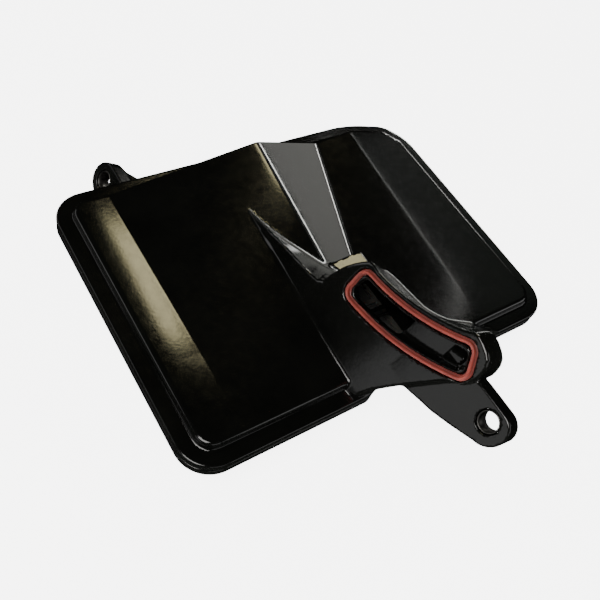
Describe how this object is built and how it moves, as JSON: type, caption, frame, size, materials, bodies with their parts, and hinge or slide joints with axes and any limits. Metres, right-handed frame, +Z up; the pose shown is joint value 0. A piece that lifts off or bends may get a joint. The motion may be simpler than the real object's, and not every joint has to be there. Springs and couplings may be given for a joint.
{
  "type": "flat oil strainer",
  "caption": "Flat two-shell filter body in black moulded plastic, with a facetted top, a kidney-shaped outlet with a red seal on a leaning block, two bolt ears and a screened inlet underneath.",
  "frame": {"origin": "bottom centre of the bounding box, on the surface that the two foot ribs rest on", "axes": "+Z up, square to the weld flange; +Y along the line of the two bolt ears, from the outlet block towards the rear ear; +X along the long side of the tray"},
  "size_m": [0.174, 0.1874, 0.0654],
  "materials": {
    "black_nylon": "glossy black moulded, glass-filled nylon",
    "red_rubber": "matt brick-red moulded rubber",
    "natural_nylon": "unpigmented moulded nylon",
    "fine_felt": "dense needled polyester felt",
    "coarse_felt": "open needled polyester felt",
    "plated_steel": "dull phosphated steel"
  },
  "bodies": {
    "root": {"upper_shell": "black_nylon", "lower_shell": "black_nylon", "port_seal": "red_rubber", "media_frame": "natural_nylon", "fine_felt": "fine_felt", "coarse_felt": "coarse_felt", "spacer_grid": "natural_nylon", "outlet_grid": "natural_nylon", "inlet_screen": "plated_steel", "front_bolt_sleeve": "plated_steel", "rear_bolt_sleeve": "plated_steel"}
  },
  "joints": []
}
